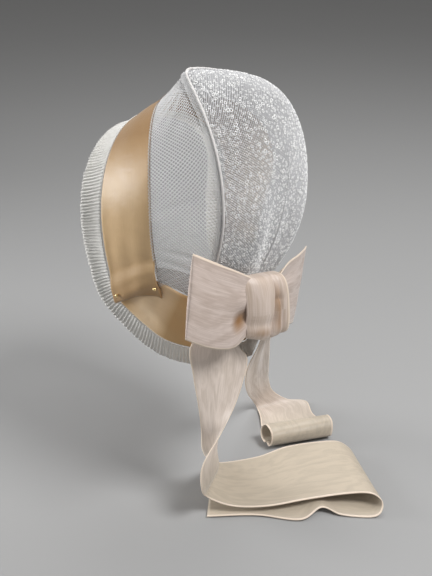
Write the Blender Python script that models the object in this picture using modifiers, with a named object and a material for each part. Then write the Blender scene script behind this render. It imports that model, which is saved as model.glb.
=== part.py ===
# Coif: a net cap with a gathered crown, a satin band over the head, a pleated face frill
# and a moire ribbon bow with two tails at the nape. Metres, +Z up. The wearer faces -Y
# and the wearer's left is +X. The origin is under the top of the crown, where a head bears.
import math

import bmesh
import bpy
import numpy as np

# The cap on a head of about 54 cm round: half its width, how far it reaches behind the
# origin, and its height from the top of the crown to the nape.
HALF_WIDTH = 0.077
BACK_REACH = 0.105
DROP = 0.207
# The tails hang this much further, to the surface that they lie on.
TAIL_HANG = 0.121

NET_CLOTH = 0.0013
SATIN_CLOTH = 0.0014
FRILL_CLOTH = 0.0010
RIBBON_CLOTH = 0.0012
KNOT_CLOTH = 0.0016
RIBBON_WIDTH = 0.072
PLEATS_PER_SIDE = 66
PLEAT_DEPTH = 0.0013
FRILL_SEAT = 0.0005
WELT_STRIP = 0.0065
WELT_LIFT = 0.0006
GATHER_DEPTH = 0.0018
GATHERS = 11
CREASE_DEPTH = 0.0008
SATIN_FOLD = 0.0022
SATIN_LIFT = 0.0035
SATIN_ROLL = 0.0004
LOWER_SWELL = 0.0020
LOWER_TURN = 0.0007
LOOP_BELLY = 0.0030
LOOP_RUCK = 0.0013
TAIL_RUCK = 0.0011
KNOT_WIDTH = 0.036
KNOT_FOLD = 0.0012
PIN_RADIUS = 0.0014
PIN_SEAT = 0.0004
PINS = {"front": (0.09, 0.975, -0.0007), "back": (0.88, 1.045, 0.0)}

# Where an arch is widest, as a share of its length from the top, and how its depth leans.
WIDE_SHARE = 0.6
LEAN = 1.2

# One row per arch over the head, from the face to the nape. Backs are shares of
# BACK_REACH, downs of DROP, halves of HALF_WIDTH, and square is the upper arch's exponent.
ARCH_COLUMNS = (
    "top_back", "top_down", "wide_half", "wide_back", "wide_down",
    "end_half", "end_back", "end_down", "square",
)
ARCH_ROWS = {
    "band_front": (-0.429, 0.184, 0.987, -0.2, 0.483, 0.857, -0.181, 0.812, 2.25),
    "band_back": (-0.162, 0.092, 1, 0.276, 0.415, 0.87, 0.248, 0.657, 2.3),
    "crown_seam": (0.029, 0, 0.662, 0.686, 0.401, 0.558, 0.457, 0.734, 2.4),
    "crown_1": (0.333, -0.019, 0.597, 0.743, 0.396, 0.468, 0.495, 0.758, 2.3),
    "crown_2": (0.59, 0.005, 0.506, 0.79, 0.401, 0.364, 0.524, 0.773, 2.2),
    "crown_3": (0.771, 0.106, 0.403, 0.829, 0.42, 0.26, 0.552, 0.783, 2.1),
    "crown_4": (0.867, 0.271, 0.286, 0.838, 0.478, 0.169, 0.571, 0.792, 2),
    "crown_5": (0.8, 0.512, 0.169, 0.724, 0.609, 0.104, 0.581, 0.797, 2),
    "crown_6": (0.59, 0.744, 0.029, 0.586, 0.773, 0.017, 0.586, 0.802, 2),
}
FRONT, BACK, SEAM, NAPE = 0, 1, 2, 8

# The satin band under the bow, one row per place from the ear to the nape.
LOWER_COLUMNS = ("upper_half", "upper_back", "upper_down", "lower_half", "lower_back", "lower_down")
LOWER_ROWS = (
    (0.916, 0.019, 0.681, 0.844, -0.152, 0.814),
    (0.838, 0.219, 0.667, 0.786, 0.019, 0.884),
    (0.734, 0.376, 0.71, 0.714, 0.171, 0.937),
    (0.558, 0.462, 0.749, 0.558, 0.333, 0.971),
    (0.312, 0.543, 0.785, 0.325, 0.457, 0.99),
    (0.013, 0.595, 0.807, 0.013, 0.533, 1),
)

# How far the frill's outer edge stands off its inner edge, by share of the way from the
# top centre to the nape.
FRILL_COLUMNS = ("along", "out_half", "out_back", "out_down")
FRILL_ROWS = (
    (0, 0, -0.143, 0.043),
    (0.25, 0.026, -0.171, 0.014),
    (0.45, 0.013, -0.19, -0.005),
    (0.6, 0.026, -0.152, 0.034),
    (0.7, 0.039, -0.076, 0.058),
    (0.85, 0.052, 0, 0.063),
    (1, 0, 0.057, 0.058),
)

# The bow's middle, and the ribbon band that is wrapped round it.
KNOT_SIDE = 0.052 * HALF_WIDTH
KNOT_INNER = 0.667 * BACK_REACH
KNOT_OUTER = 0.857 * BACK_REACH
KNOT_TOP = 0.705 * DROP
KNOT_BOTTOM = 0.918 * DROP
LOOP_START = 0.117 * HALF_WIDTH
LOOP_BACK = 0.743 * BACK_REACH

# A bow loop from the knot to its tip and back. Reach and lift are shares of RIBBON_WIDTH,
# the drops of the ribbon's two edges are shares of DROP.
LOOP_COLUMNS = ("reach", "lift", "top_down", "bottom_down")
LEFT_LOOP = {"side": 1, "turn": -0.13, "flare": 0.22, "rows": (
    (0, -0.061, 0.744, 0.874),
    (0.181, -0.035, 0.729, 0.87),
    (0.444, -0.014, 0.614, 0.87),
    (0.75, -0.014, 0.531, 0.826),
    (1.042, -0.014, 0.488, 0.802),
    (0.861, 0.097, 0.522, 0.816),
    (0.514, 0.153, 0.599, 0.855),
    (0.208, 0.056, 0.729, 0.87),
    (0, 0.056, 0.739, 0.879),
)}
RIGHT_LOOP = {"side": -1, "turn": -0.21, "flare": -0.3, "rows": (
    (0, -0.061, 0.744, 0.879),
    (0.167, -0.035, 0.734, 0.884),
    (0.389, -0.028, 0.71, 0.923),
    (0.569, 0, 0.696, 0.942),
    (0.667, 0.056, 0.686, 0.952),
    (0.583, 0.125, 0.696, 0.942),
    (0.403, 0.139, 0.71, 0.923),
    (0.167, 0.056, 0.734, 0.884),
    (0, 0.056, 0.744, 0.879),
)}

# The tails from the knot to their ends: both edges of the ribbon by place. Sides are
# shares of HALF_WIDTH and backs of BACK_REACH. Downs run to 1 down the cap and to 2 at
# the surface below.
TAIL_COLUMNS = ("a_side", "a_back", "a_down", "b_side", "b_back", "b_down")
LEFT_TAIL_ROWS = (
    (0.37, 0.656, 0.773, 0.37, 0.656, 0.85),
    (0.649, 0.571, 0.792, 0.364, 0.638, 0.932),
    (0.844, 0.495, 0.889, 0.286, 0.657, 1.008),
    (0.857, 0.524, 1.008, 0.364, 0.686, 1.157),
    (0.831, 0.552, 1.231, 0.545, 0.695, 1.298),
    (0.805, 0.581, 1.421, 0.805, 0.686, 1.405),
    (0.727, 0.543, 1.603, 1.013, 0.724, 1.554),
    (0.571, 0.486, 1.769, 1.039, 0.733, 1.727),
    (0.39, 0.448, 1.884, 0.987, 0.771, 1.868),
    (0.182, 0.495, 1.934, 0.805, 0.876, 1.934),
    (-0.078, 0.648, 1.942, 0.545, 1.048, 1.942),
    (-0.416, 0.762, 1.926, 0.234, 1.257, 1.926),
    (-0.727, 0.952, 1.909, -0.13, 1.457, 1.909),
    (-0.909, 1.124, 1.893, -0.312, 1.619, 1.893),
    (-0.909, 1.219, 1.926, -0.312, 1.733, 1.934),
    (-0.753, 1.143, 1.983, -0.104, 1.714, 1.992),
    (-0.468, 0.971, 1.992, 0.104, 1.505, 1.992),
    (-0.312, 0.876, 1.988, 0.156, 1.352, 1.959),
    (-0.182, 0.8, 1.992, 0.416, 1.295, 1.992),
    (0.078, 0.571, 1.992, 0.649, 1.01, 1.992),
    (0.351, 0.314, 1.992, 1.078, 0.695, 1.992),
)
RIGHT_TAIL_ROWS = (
    (0.169, 0.752, 0.926, -0.13, 0.752, 0.926),
    (0.156, 0.714, 0.981, -0.13, 0.695, 0.981),
    (0.052, 0.638, 1.174, -0.312, 0.59, 1.174),
    (-0.208, 0.505, 1.421, -0.61, 0.448, 1.421),
    (-0.519, 0.343, 1.669, -0.922, 0.314, 1.669),
    (-0.818, 0.21, 1.876, -1.221, 0.257, 1.86),
    (-0.987, 0.19, 1.979, -1.403, 0.362, 1.975),
    (-0.961, 0.267, 1.988, -1.403, 0.495, 1.988),
    (-0.805, 0.362, 1.992, -1.351, 0.648, 1.992),
    (-0.571, 0.457, 1.992, -1.195, 0.8, 1.992),
    (-0.351, 0.571, 1.975, -0.948, 0.924, 1.975),
    (-0.299, 0.61, 1.917, -0.896, 0.962, 1.917),
    (-0.338, 0.581, 1.855, -0.935, 0.933, 1.855),
    (-0.442, 0.514, 1.843, -1.039, 0.867, 1.843),
    (-0.506, 0.476, 1.901, -1.104, 0.829, 1.901),
    (-0.461, 0.505, 1.946, -1.058, 0.857, 1.946),
    (-0.39, 0.548, 1.942, -0.987, 0.9, 1.942),
)

MATERIALS = {
    "net": ((0.86, 0.86, 0.83, 1.0), 0.85, 0.0),
    "embroidered_net": ((0.90, 0.90, 0.87, 1.0), 0.8, 0.0),
    "piping": ((0.92, 0.91, 0.88, 1.0), 0.7, 0.0),
    "frill_silk": ((0.87, 0.87, 0.85, 1.0), 0.75, 0.0),
    "gold_satin": ((0.62, 0.45, 0.22, 1.0), 0.38, 0.0),
    "moire_ribbon": ((0.86, 0.79, 0.73, 1.0), 0.45, 0.0),
    "pin_metal": ((0.85, 0.66, 0.32, 1.0), 0.25, 1.0),
}


def spread(count, low, high):
    return [low + (high - low) * i / (count - 1) for i in range(count)]


def between(columns, rows, place):
    # a smooth curve through a table's rows, read at a place between them
    table = np.array(rows, dtype=float)
    last = len(table) - 1
    place = min(max(place, 0.0), float(last))
    i = min(int(place), last - 1)
    f = place - i
    p1, p2 = table[i], table[i + 1]
    p0 = table[i - 1] if i else 2 * p1 - p2
    p3 = table[i + 2] if i + 2 <= last else 2 * p2 - p1
    bend = 2 * p0 - 5 * p1 + 4 * p2 - p3
    value = 0.5 * (2 * p1 + (p2 - p0) * f + bend * f**2 + (3 * p1 - p0 - 3 * p2 + p3) * f**3)
    return dict(zip(columns, value))


ARCH_LIST = tuple(ARCH_ROWS.values())


def on_arch(place, share, side):
    row = between(ARCH_COLUMNS, ARCH_LIST, place)
    wide_x, wide_y = row["wide_half"] * HALF_WIDTH, row["wide_back"] * BACK_REACH
    wide_z, top_z = -row["wide_down"] * DROP, -row["top_down"] * DROP
    top_y = row["top_back"] * BACK_REACH
    if share <= WIDE_SHARE:
        turn = share / WIDE_SHARE * math.pi / 2
        x = wide_x * math.sin(turn) ** (2 / row["square"])
        z = wide_z + (top_z - wide_z) * max(math.cos(turn), 0.0) ** (2 / row["square"])
        y = top_y + (wide_y - top_y) * math.sin(turn) ** LEAN
    else:
        f = (share - WIDE_SHARE) / (1 - WIDE_SHARE)
        # the crown hangs in closer behind the left loop than on the other side
        crown = min(max(place - SEAM, 0.0), 1.0)
        hang = 1.6 + (0.15 if side < 0 else -0.4) * crown
        x = wide_x + (row["end_half"] * HALF_WIDTH - wide_x) * f**1.8
        z = wide_z + (-row["end_down"] * DROP - wide_z) * f
        y = wide_y + (row["end_back"] * BACK_REACH - wide_y) * f**hang
    return np.array((side * x, y, z))


def on_form(place, t):
    # t runs from -1 at the right lower end over the top to 1 at the left lower end
    return on_arch(place, abs(t), 1 if t >= 0 else -1)


def form_normal(place, t):
    step = 0.01
    ahead, behind = min(place + step, NAPE), max(place - step, 0)
    across = on_form(ahead, t) - on_form(behind, t)
    along = on_form(place, t + step) - on_form(place, t - step)
    n = np.cross(along, across)
    n /= np.linalg.norm(n)
    centre = np.array((0.0, 0.3 * BACK_REACH, -0.45 * DROP))
    return n if n @ (on_form(place, t) - centre) > 0 else -n


def lifted(place, t, off):
    return on_form(place, t) + off * form_normal(place, t)


def on_lower(place, down, side):
    row = between(LOWER_COLUMNS, LOWER_ROWS, place)
    upper, lower = (
        np.array((row[k + "_half"] * HALF_WIDTH, row[k + "_back"] * BACK_REACH, -row[k + "_down"] * DROP))
        for k in ("upper", "lower")
    )
    p = upper + (lower - upper) * down
    out = np.array((p[0], p[1] - 0.1 * BACK_REACH, 0.0))
    out /= np.linalg.norm(out)
    swell = LOWER_SWELL * min(place / 2, 1.0) * math.sin(math.pi * down)
    turned = LOWER_TURN * math.exp(-(((place - 1.1) / 0.7) ** 2)) * (1 - down)
    return (p + out * (swell + turned)) * np.array((side, 1.0, 1.0))


def make_material(key):
    colour, rough, metal = MATERIALS[key]
    made = bpy.data.materials.get(key)
    if made:
        return made
    made = bpy.data.materials.new(key)
    made.use_nodes = True
    shader = made.node_tree.nodes["Principled BSDF"]
    shader.inputs["Base Color"].default_value = colour
    shader.inputs["Roughness"].default_value = rough
    shader.inputs["Metallic"].default_value = metal
    made.diffuse_color = colour
    return made


def add_object(name, mesh, key, collection):
    mesh.materials.append(make_material(key))
    mesh.shade_smooth()
    made = bpy.data.objects.new(name, mesh)
    collection.objects.link(made)
    return made


def add_cloth(name, grid, thick, key, collection, ring=False):
    # an open surface lofted through a grid of points, given its thickness by Solidify
    rows, cols = len(grid), len(grid[0])
    points = [tuple(float(c) for c in p) for line in grid for p in line]
    faces = []
    for i in range(rows if ring else rows - 1):
        a, b = i * cols, (i + 1) % rows * cols
        faces += [(a + j, b + j, b + j + 1, a + j + 1) for j in range(cols - 1)]
    mesh = bpy.data.meshes.new(name)
    mesh.from_pydata(points, [], faces)
    made = add_object(name, mesh, key, collection)
    shell = made.modifiers.new("Solidify", "SOLIDIFY")
    shell.thickness = thick
    shell.offset = 0.0
    return made


def build_net_band(collection):
    def off(place, t):
        crease = 0.0
        for centre, slope in ((0.62, -0.06), (0.8, 0.04), (0.9, 0.08)):
            crease -= math.exp(-(((abs(t) - centre - slope * (place - 1.5)) / 0.02) ** 2))
        return CREASE_DEPTH * crease * math.sin(math.pi * (place - BACK))

    places = spread(5, BACK + 0.012, SEAM - 0.012)
    grid = [[lifted(p, t, off(p, t)) for p in places] for t in spread(41, -0.992, 0.992)]
    add_cloth("net_band", grid, NET_CLOTH, "net", collection)


def build_crown(collection):
    def off(place, t):
        # gathers ray out from the peak of the seam and die away down the back
        away = place - SEAM
        fade = math.exp(-away / 0.9) * max(0.0, 1 - abs(t) / 0.55) * away / (away + 0.15)
        return GATHER_DEPTH * fade * math.cos(2 * math.pi * t * GATHERS)

    places = spread(13, SEAM + 0.03, NAPE)
    grid = [[lifted(p, t, off(p, t)) for p in places] for t in spread(45, -0.99, 0.99)]
    add_cloth("crown_panel", grid, NET_CLOTH, "embroidered_net", collection)


def satin_end(f):
    # the turned-under end line hangs lower towards the band's back edge
    return 1.0 + 0.13 * f - 0.03 * math.sin(math.pi * f)


def satin_off(f, share):
    # the end passes over the lower band and is folded under there
    rise = min(max((share - 0.84) / 0.09, 0.0), 1.0)
    rise = rise * rise * (3 - 2 * rise)
    fold = math.exp(-(((share - 0.985) / 0.035) ** 2)) * math.sin(math.pi * (0.1 + 0.8 * f))
    return SATIN_LIFT * rise * (1 + 0.3 * f) + SATIN_FOLD * fold


def build_satin_band(collection):
    grid = []
    for t in spread(41, -1, 1):
        side = 1 if t >= 0 else -1
        line = []
        for f in spread(5, 0, 1):
            share = abs(t) * satin_end(f)
            place = FRONT + 0.008 + (BACK - FRONT - 0.03) * f
            off = satin_off(f, share) - SATIN_ROLL * math.cos(2 * math.pi * f)
            line.append(lifted(place, side * share, off))
        grid.append(line)
    add_cloth("satin_band", grid, SATIN_CLOTH, "gold_satin", collection)


def build_lower_bands(collection):
    last = len(LOWER_ROWS) - 1
    for name, side in (("lower_band_left", 1), ("lower_band_right", -1)):
        grid = [[on_lower(p, d, side) for d in spread(5, 0.012, 0.985)] for p in spread(17, 0, last - 0.02)]
        add_cloth(name, grid, SATIN_CLOTH, "gold_satin", collection)


def edge_line(count):
    # the frill's inner edge on the left half, in even steps from the top to the nape
    last = len(LOWER_ROWS) - 1
    points = [on_form(FRONT, t) for t in spread(60, 0, 1)]
    points += [on_lower(p, 1.0, 1) for p in spread(50, 0, last)][1:]
    points = np.array(points)
    run = np.concatenate(([0], np.cumsum(np.linalg.norm(np.diff(points, axis=0), axis=1))))
    want = np.linspace(0, run[-1], count)
    return np.stack([np.interp(want, run, points[:, k]) for k in range(3)], axis=1), want / run[-1]


def build_frill(collection):
    folds = PLEATS_PER_SIDE * 2
    line, along = edge_line(folds + 1)
    table = np.array(FRILL_ROWS)
    sizes = (HALF_WIDTH, BACK_REACH, -DROP)
    left = []
    for i in range(folds + 1):
        out = np.array([np.interp(along[i], table[:, 0], table[:, k + 1]) * sizes[k] for k in range(3)])
        step = line[min(i + 1, folds)] - line[max(i - 1, 0)]
        out_way = out / np.linalg.norm(out)
        n = np.cross(step / np.linalg.norm(step), out_way)
        n /= np.linalg.norm(n)
        wave = n * PLEAT_DEPTH * (1 if i % 2 else -1)
        start = line[i] + out_way * FRILL_SEAT
        left.append([start + wave * 0.45, start + out * 0.5 + wave * 0.9, line[i] + out + wave * 1.1])
    right = [[p * np.array((-1.0, 1.0, 1.0)) for p in row] for row in left]
    ring = left + right[::-1][1:-1]
    add_cloth("face_frill", ring, FRILL_CLOTH, "frill_silk", collection, ring=True)


def build_welt(collection):
    # a doubled strip of net with a piped ridge along its rear edge, as across and height
    section = (
        (0.0, 0.0), (0.0, 0.0009), (0.75, 0.0009), (0.82, 0.0026),
        (1.0, 0.0036), (1.18, 0.0026), (1.22, 0.0004), (0.9, 0.0),
    )
    mesh = bpy.data.meshes.new("seam_welt")
    work = bmesh.new()
    rings = []
    for t in spread(45, -0.985, 0.985):
        low = abs(t)
        centre, n = on_form(SEAM, t), form_normal(SEAM, t)
        across = on_form(SEAM - 0.05, t) - centre
        across -= n * (across @ n)
        across *= WELT_STRIP * (1 - 0.35 * low) / np.linalg.norm(across)
        rise = NET_CLOTH / 2 + WELT_LIFT + 0.0012 * math.exp(-(((low - 0.12) / 0.2) ** 2))
        rings.append([work.verts.new(centre + across * (1 - a) + n * (rise + h)) for a, h in section])
    sides = len(section)
    for first, second in zip(rings, rings[1:]):
        for j in range(sides):
            k = (j + 1) % sides
            work.faces.new((first[j], first[k], second[k], second[j]))
    work.faces.new(rings[0])
    work.faces.new(rings[-1])
    bmesh.ops.recalc_face_normals(work, faces=work.faces)
    work.to_mesh(mesh)
    work.free()
    add_object("seam_welt", mesh, "piping", collection)


def build_loop(name, loop, collection):
    side, turn, rows = loop["side"], loop["turn"], loop["rows"]
    base = np.array((side * LOOP_START, LOOP_BACK, 0.0))
    out = np.array((side * math.cos(turn), math.sin(turn), 0.0))
    lift = np.array((-side * math.sin(turn), math.cos(turn), 0.0))
    last = len(rows) - 1
    grid = []
    for p in spread(23, 0, last):
        row = between(LOOP_COLUMNS, rows, p)
        pinch = math.exp(-max(row["reach"], 0) / 0.25)
        layer = 1 if p > last / 2 else -1
        line = []
        for f in spread(6, 0, 1):
            far = row["reach"] * RIBBON_WIDTH * (1 + loop["flare"] * (f - 0.5))
            belly = layer * LOOP_BELLY * math.sin(math.pi * f) * (1 - pinch)
            ruck = LOOP_RUCK * pinch * math.cos(f * math.pi * 5)
            q = base + out * far + lift * (row["lift"] * RIBBON_WIDTH + belly + ruck)
            q[2] = -DROP * (row["top_down"] + (row["bottom_down"] - row["top_down"]) * f)
            line.append(q)
        grid.append(line)
    add_cloth(name, grid, RIBBON_CLOTH, "moire_ribbon", collection)


def build_knot(collection):
    # a band of ribbon wrapped once round the gathered middle of the bow
    middle_y, middle_z = (KNOT_INNER + KNOT_OUTER) / 2, -(KNOT_TOP + KNOT_BOTTOM) / 2
    half_y, half_z = (KNOT_OUTER - KNOT_INNER) / 2, (KNOT_BOTTOM - KNOT_TOP) / 2
    around = 24
    grid = []
    for k in range(around):
        c, s = math.cos(2 * math.pi * k / around), math.sin(2 * math.pi * k / around)
        y = middle_y + half_y * math.copysign(abs(c) ** 0.6, c)
        z = middle_z + half_z * math.copysign(abs(s) ** 0.6, s)
        line = []
        for f in spread(7, -1, 1):
            fold = KNOT_FOLD * math.cos(f * math.pi * 2.5) if c > 0 else 0.0
            flare = 1 - 0.12 * (z - middle_z) / half_z
            line.append(np.array((KNOT_SIDE + f * KNOT_WIDTH / 2 * flare, y + fold, z)))
        grid.append(line)
    add_cloth("bow_knot", grid, KNOT_CLOTH, "moire_ribbon", collection, ring=True)


def hang(share):
    return share * DROP if share < 1 else DROP + (share - 1) * TAIL_HANG


def build_tail(name, rows, count, collection):
    grid = []
    for p in spread(count, 0, len(rows) - 1):
        row = between(TAIL_COLUMNS, rows, p)
        a, b = (
            np.array((row[k + "_side"] * HALF_WIDTH, row[k + "_back"] * BACK_REACH, -hang(row[k + "_down"])))
            for k in "ab"
        )
        grid.append([a + (b - a) * f for f in spread(5, 0, 1)])
    grid = np.array(grid)
    n = np.cross(np.gradient(grid, axis=0), np.gradient(grid, axis=1))
    n /= np.linalg.norm(n, axis=2, keepdims=True)
    fade = np.exp(-np.arange(count) / (0.12 * count))[:, None, None]
    rucks = np.cos(np.linspace(0, 4 * math.pi, 5))[None, :, None]
    add_cloth(name, grid + n * TAIL_RUCK * fade * rucks, RIBBON_CLOTH, "moire_ribbon", collection)


def build_pin(name, spot, side, collection):
    # a small round head standing just off the folded satin
    work = bmesh.new()
    bmesh.ops.create_uvsphere(work, u_segments=10, v_segments=7, radius=PIN_RADIUS)
    mesh = bpy.data.meshes.new(name)
    work.to_mesh(mesh)
    work.free()
    place, share, settle = spot
    off = satin_off(place, share) + SATIN_CLOTH / 2 + PIN_SEAT + PIN_RADIUS + settle
    made = add_object(name, mesh, "pin_metal", collection)
    made.location = lifted(FRONT + place, side * share, off)


def main():
    for old in list(bpy.data.objects):
        bpy.data.objects.remove(old, do_unlink=True)
    scene = bpy.context.scene
    scene.unit_settings.system = "METRIC"
    scene.unit_settings.scale_length = 1.0
    collection = bpy.data.collections.new("coif")
    scene.collection.children.link(collection)
    build_frill(collection)
    build_satin_band(collection)
    build_lower_bands(collection)
    build_net_band(collection)
    build_welt(collection)
    build_crown(collection)
    build_loop("bow_loop_left", LEFT_LOOP, collection)
    build_loop("bow_loop_right", RIGHT_LOOP, collection)
    build_knot(collection)
    build_tail("tail_left", LEFT_TAIL_ROWS, 43, collection)
    build_tail("tail_right", RIGHT_TAIL_ROWS, 47, collection)
    for hand, side in (("left", 1), ("right", -1)):
        for where, spot in PINS.items():
            build_pin("pin_" + hand + "_" + where, spot, side, collection)


main()
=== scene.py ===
import math

import bpy
import numpy as np
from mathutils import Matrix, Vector


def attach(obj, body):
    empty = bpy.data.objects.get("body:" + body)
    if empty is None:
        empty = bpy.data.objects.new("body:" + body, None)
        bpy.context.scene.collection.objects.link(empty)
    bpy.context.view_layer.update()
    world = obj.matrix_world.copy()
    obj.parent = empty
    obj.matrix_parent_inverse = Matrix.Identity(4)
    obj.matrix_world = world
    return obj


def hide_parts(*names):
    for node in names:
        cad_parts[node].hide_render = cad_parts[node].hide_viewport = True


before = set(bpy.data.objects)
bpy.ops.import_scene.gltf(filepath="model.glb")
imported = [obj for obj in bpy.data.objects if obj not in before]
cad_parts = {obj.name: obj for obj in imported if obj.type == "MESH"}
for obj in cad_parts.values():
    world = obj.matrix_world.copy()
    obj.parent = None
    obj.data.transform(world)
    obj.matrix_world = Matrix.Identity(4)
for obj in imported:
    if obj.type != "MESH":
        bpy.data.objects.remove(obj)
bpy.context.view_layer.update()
print("frame loaded")


# Helpers for meshes
def clearPick():
    bpy.ops.object.select_all(action="DESELECT")


def pick(piece):
    clearPick()
    piece.select_set(True)
    bpy.context.view_layer.objects.active = piece


def setMode(mode):
    bpy.ops.object.mode_set(mode=mode)


def smooth(piece):
    pick(piece)
    bpy.ops.object.shade_smooth()


def named(name):
    # the piece that was just added
    piece = bpy.context.object
    piece.name = piece.data.name = name
    return piece


def readPoints(piece):
    flat = np.zeros(len(piece.data.vertices) * 3)
    piece.data.vertices.foreach_get("co", flat)
    return flat.reshape(-1, 3)


def writePoints(piece, points):
    piece.data.vertices.foreach_set("co", np.asarray(points, float).ravel())
    piece.data.update()


def cornerVerts(piece):
    corner = np.zeros(len(piece.data.loops), np.int32)
    piece.data.loops.foreach_get("vertex_index", corner)
    return corner


def applyModifier(piece, kind, **settings):
    pick(piece)
    made = piece.modifiers.new(kind.title(), kind)
    for key, value in settings.items():
        setattr(made, key, value)
    bpy.ops.object.modifier_apply(modifier=made.name)


def gridPiece(name, along, across, lay, size):
    # a flat grid is laid on a surface: lay turns its two shares into points, and the
    # cloth map keeps the flat place in millimetres
    clearPick()
    bpy.ops.mesh.primitive_grid_add(x_subdivisions=across, y_subdivisions=along, size=1)
    piece = named(name)
    flat = readPoints(piece)
    u, v = flat[:, 0] + 0.5, flat[:, 1] + 0.5
    writePoints(piece, lay(v, u))
    layer = piece.data.uv_layers[0]
    layer.name = "clothMap"
    corner = cornerVerts(piece)
    spots = np.stack([u[corner] * size[0] * 1000, v[corner] * size[1] * 1000], 1)
    layer.data.foreach_set("uv", spots.astype(np.float32).ravel())
    return piece


def giveThickness(piece, thick, inner=False):
    # cloth thickness to both sides of the sheet; its reverse can have a finish of its own
    applyModifier(piece, "SOLIDIFY", thickness=thick, offset=0.0, use_even_offset=False,
                  material_offset=1 if inner else 0)
    smooth(piece)


def weld(piece):
    # a sheet that closes on itself is joined along its meeting edges
    pick(piece)
    setMode("EDIT")
    bpy.ops.mesh.select_all(action="SELECT")
    bpy.ops.mesh.remove_doubles(threshold=0.00001)
    setMode("OBJECT")


def finishPiece(piece, finishes, nodes=()):
    piece.data.materials.clear()
    for finish in finishes:
        piece.data.materials.append(finish)
    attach(piece, "root")
    if nodes:
        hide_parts(*nodes)


# Helpers for materials
class Socket:
    # a node's output that plain maths works on
    def __init__(self, finish, socket):
        self.finish, self.socket = finish, socket

    def maths(self, operation, *values):
        return self.finish.node("ShaderNodeMath", {"operation": operation}, dict(enumerate(values)))

    def __add__(self, other):
        return self.maths("ADD", self, other)

    def __sub__(self, other):
        return self.maths("SUBTRACT", self, other)

    def __rsub__(self, other):
        return self.maths("SUBTRACT", other, self)

    def __mul__(self, other):
        return self.maths("MULTIPLY", self, other)

    def __truediv__(self, other):
        return self.maths("DIVIDE", self, other)

    def __pow__(self, other):
        return self.maths("POWER", self, other)

    __radd__, __rmul__ = __add__, __mul__

    def sine(self):
        return self.maths("SINE", self)

    def within(self, low, high):
        return self.finish.node("ShaderNodeClamp", {}, {"Value": self, "Min": low, "Max": high})


class Finish:
    def __init__(self, name, **fixed):
        self.material = bpy.data.materials.new(name)
        self.material.use_nodes = True
        self.tree = self.material.node_tree
        self.shader = self.tree.nodes["Principled BSDF"]
        for key, value in fixed.items():
            self.shader.inputs[key.replace("_", " ")].default_value = value

    def node(self, kind, settings, inputs, output=0):
        made = self.tree.nodes.new(kind)
        for key, value in settings.items():
            setattr(made, key, value)
        for key, value in inputs.items():
            self.join(value, made.inputs[key])
        return Socket(self, made.outputs[output])

    def join(self, value, socket):
        if isinstance(value, Socket):
            self.tree.links.new(value.socket, socket)
        else:
            socket.default_value = value

    def feed(self, key, value):
        self.join(value, self.shader.inputs[key])

    def mix(self, share, first, second):
        colours = [c if isinstance(c, Socket) else (*c, 1.0) for c in (first, second)]
        return self.node("ShaderNodeMix", {"data_type": "RGBA"}, {0: share, 6: colours[0], 7: colours[1]}, 2)

    def clothPlace(self):
        # how far across and along the flat cloth a spot is, in millimetres
        spot = self.node("ShaderNodeUVMap", {"uv_map": "clothMap"}, {})
        split = [self.node("ShaderNodeSeparateXYZ", {}, {0: spot}, k) for k in (0, 1)]
        return spot, split[0], split[1]

    def objectPlace(self):
        return self.node("ShaderNodeTexCoord", {}, {}, 3)

    def stretched(self, spot, x, y):
        return self.node("ShaderNodeMapping", {}, {"Vector": spot, "Scale": (x, y, 1.0)})

    def noise(self, where, scale, detail=3.0, rough=0.5, warp=0.0):
        inputs = {"Vector": where, "Scale": scale, "Detail": detail, "Roughness": rough, "Distortion": warp}
        return self.node("ShaderNodeTexNoise", {}, inputs)

    def bump(self, height, depth, strength=1.0, under=None):
        inputs = {"Height": height, "Distance": depth, "Strength": strength}
        if under:
            inputs["Normal"] = under
        return self.node("ShaderNodeBump", {}, inputs)


# Materials
ribbon = {"width": 72.0, "thick": 0.75, "loopStart": 9.0, "loopBack": 78.0}


def satinFinish(name, tone, deep, length):
    # silk satin: floats along the band, a soft broad gloss, and painted light and shade along its length
    made = Finish(name, Roughness=0.42, Sheen_Weight=0.12, Sheen_Roughness=0.4, Specular_IOR_Level=0.7,
                  Anisotropic=0.4)
    spot, across, along = made.clothPlace()
    cloudy = made.noise(spot, 0.06, 4.0, 0.55)
    streak = made.noise(made.stretched(spot, 1.6, 0.05), 1.0, 3.0)
    worn = (cloudy * 0.7 + streak * 0.5 - 0.2).within(0.0, 1.0)
    # painted light: part way between the middle and each end the band is painted lighter (a painted
    # highlight), and it turns to the deeper gold at the middle and at the ends (painted shade); on the arch
    # band the middle is the top of the head
    around = (along - length / 2) / (length / 2)
    paintedLitBand = (1.0 - (((around * around) ** 0.5 - 0.56) ** 2) * 7.5).within(0.0, 1.0)
    middle = [(a + b) / 2 for a, b in zip(tone, deep)]
    made.feed("Base Color", made.mix(paintedLitBand, deep, made.mix(worn, middle, tone)))
    made.feed("Roughness", cloudy * 0.14 + 0.42)
    warp = (across * 18.0).sine() * 0.5 + 0.5
    weave = made.bump(warp * 0.6 + streak * 0.4, 0.00006, 0.5)
    made.feed("Normal", made.bump(made.noise(spot, 0.12, 2.0, 0.45, 0.3), 0.0007, 0.4, weave))
    return made.material


def threadFinish(name, tone, shade, sheen):
    # twisted cotton or silk thread with small differences from thread to thread
    made = Finish(name, Roughness=0.72, Sheen_Weight=sheen, Sheen_Roughness=0.5)
    spot = made.objectPlace()
    made.feed("Base Color", made.mix(made.noise(spot, 60.0, 3.0), shade, tone))
    made.feed("Normal", made.bump(made.noise(spot, 3200.0, 2.0), 0.00012, 0.6))
    return made.material


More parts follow.
